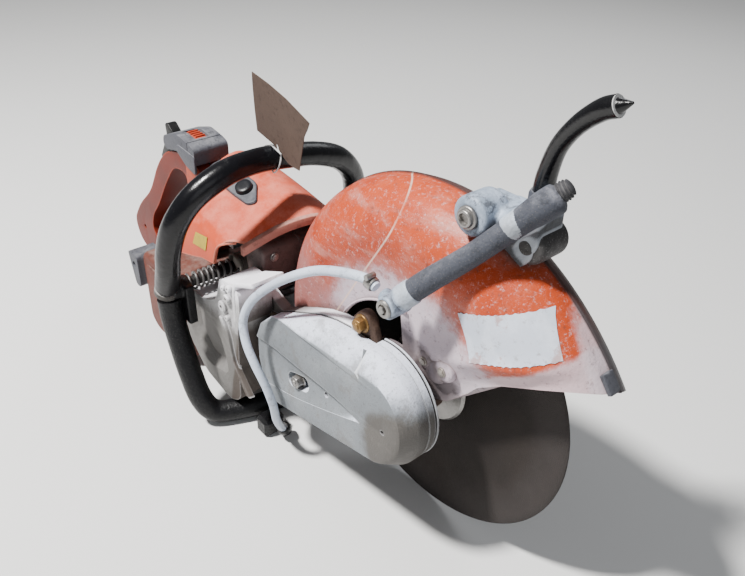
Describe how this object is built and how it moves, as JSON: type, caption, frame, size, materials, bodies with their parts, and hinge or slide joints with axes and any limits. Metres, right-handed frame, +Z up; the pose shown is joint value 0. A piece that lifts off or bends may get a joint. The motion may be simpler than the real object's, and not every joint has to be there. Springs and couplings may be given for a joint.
{
  "type": "abrasive chop saw",
  "caption": "Hand-held petrol cut-off saw: engine with belt-driven abrasive wheel, tilting guard with water feed, wrap-round front handle and rear throttle handle.",
  "frame": {"origin": "floor point under the middle of the bounding box", "axes": "+X towards the cutting wheel, +Y to the operator's left, +Z up"},
  "size_m": [0.8165, 0.3063, 0.5184],
  "materials": {
    "handle_brown": "dusty moulded brown-orange",
    "grey_plastic": "dark grey moulded",
    "orange_plastic": "faded orange with dust",
    "guard_paint": "worn orange paint with scratches and dust",
    "tank_plastic": "dusty brown-pink",
    "casting": "dusty die casting",
    "piston_alloy": "machined",
    "arm_casting": "casting under red-brown dust",
    "cover_casting": "pale blue-grey, speckled with grit",
    "muffler_steel": "heat-browned",
    "steel": "dull zinc",
    "flywheel_alloy": "cast",
    "gold_nut": "passivated",
    "spring_cup_steel": "dusty",
    "gloss_handle": "worn glossy black",
    "dusty_handle": "dusty black",
    "dusty_tube": "dust-grey sleeve",
    "black_rubber": "matte",
    "black_plastic": "satin",
    "switch_red": "orange-red",
    "hose_grey": "pale grey",
    "rope": "braided",
    "card": "plain brown card, blank",
    "abrasive": "resin-bonded grit with woven mesh",
    "ceramic": "glazed"
  },
  "bodies": {
    "saw": {"crankcase": "casting", "cylinder": "casting", "piston": "piston_alloy", "spark_plug": "ceramic", "muffler": "muffler_steel", "carburettor": "casting", "air_filter": "black_plastic", "ignition_coil": "steel", "cast_arm": "arm_casting", "bearing_near": "steel", "bearing_far": "steel", "drive_belt": "black_rubber", "belt_cover": "cover_casting", "adjuster_nut": "gold_nut", "clutch_casing": "casting", "engine_shroud": "orange_plastic", "shroud_bezel": "grey_plastic", "fuel_tank": "tank_plastic", "foot_right": "black_rubber", "foot_left": "black_rubber", "frame_foot": "black_rubber", "rear_handle": "handle_brown", "handle_cover": "grey_plastic", "starter_cover": "tank_plastic", "front_handle": "gloss_handle", "handle_frame": "dusty_handle", "isolation_spring": "steel", "spring_cup": "spring_cup_steel", "rear_bracket": "casting", "water_hose": "hose_grey", "hose_plug": "black_rubber", "hang_tag": "card", "tag_tie": "steel"},
    "crank": {"crankshaft": "steel", "clutch_drum": "steel", "flywheel": "flywheel_alloy"},
    "wheel": {"cutting_wheel": "abrasive", "inner_flange": "steel", "outer_flange": "steel", "spindle": "steel", "driven_pulley": "steel", "wheel_bolt": "steel"},
    "guard": {"wheel_guard": "guard_paint", "guard_bracket": "casting", "guard_pipe": "dusty_tube", "lever_boot": "black_rubber", "guard_lever": "black_rubber", "guard_bolt": "steel", "hose_fitting": "casting", "guard_clip": "steel"},
    "trigger": {"throttle_trigger": "black_plastic"},
    "lockout": {"throttle_lockout": "black_plastic"},
    "choke": {"choke_lever": "black_plastic"},
    "stop": {"stop_slider": "switch_red"},
    "decompressor": {"compression_button": "black_plastic"},
    "cap": {"fuel_cap": "black_plastic"},
    "pull_grip": {"starter_grip": "black_plastic", "starter_rope": "rope"},
    "rope_drum": {"starter_drum": "black_plastic"}
  },
  "joints": [
    {"name": "wheel_spin", "type": "hinge", "parent": "saw", "child": "wheel", "pos_m": [0.2104, 0.0114, 0.1755], "axis": [0, 1, 0], "continuous": true},
    {"name": "crank_spin", "type": "hinge", "parent": "saw", "child": "crank", "pos_m": [-0.0559, 0.0114, 0.08898], "axis": [0, 1, 0], "continuous": true},
    {"name": "guard_tilt", "type": "hinge", "parent": "saw", "child": "guard", "pos_m": [0.2104, 0.0114, 0.1755], "axis": [0, 1, 0], "range_deg": [-35, 30], "deforming": ["water_hose"]},
    {"name": "trigger_pull", "type": "hinge", "parent": "saw", "child": "trigger", "pos_m": [-0.2196, 0.0114, 0.2535], "axis": [0, 1, 0], "range_deg": [0, 14], "stiffness_Nm_per_rad": 0.35, "springref_deg": -11.46},
    {"name": "lockout_press", "type": "hinge", "parent": "saw", "child": "lockout", "pos_m": [-0.2681, 0.0114, 0.2805], "axis": [0, -1, 0], "range_deg": [0, 6], "stiffness_Nm_per_rad": 0.5, "springref_deg": -11.46},
    {"name": "choke_turn", "type": "hinge", "parent": "saw", "child": "choke", "pos_m": [-0.1936, 0.0114, 0.2055], "axis": [0, 1, 0], "range_deg": [0, 36]},
    {"name": "stop_slide", "type": "slide", "parent": "saw", "child": "stop", "axis": [-1, 0, 0], "range_m": [0, 0.008]},
    {"name": "compression_press", "type": "slide", "parent": "saw", "child": "decompressor", "axis": [-0.12, 0.4149, -0.9019], "range_m": [0, 0.004], "stiffness_N_per_m": 900, "springref_m": -0.002},
    {"name": "fuel_cap_turn", "type": "hinge", "parent": "saw", "child": "cap", "pos_m": [-0.1946, 0.0114, 0.0755], "axis": [0, 1, 0], "range_deg": [0, 90]},
    {"name": "starter_pull", "type": "slide", "parent": "saw", "child": "pull_grip", "axis": [-0.5, 0.45, 0.74], "range_m": [0, 0.6], "stiffness_N_per_m": 12, "springref_m": -0.25, "deforming": ["starter_rope"]},
    {"name": "starter_drum_turn", "type": "hinge", "parent": "saw", "child": "rope_drum", "pos_m": [-0.0559, 0.0114, 0.08898], "axis": [0, 1, 0], "range_deg": [0, 1150]}
  ],
  "couplings": [
    {"joint": "crank_spin", "follows": "wheel_spin", "ratio": 1.8723},
    {"joint": "starter_drum_turn", "follows": "starter_pull", "rad_per_m": 33.3}
  ]
}
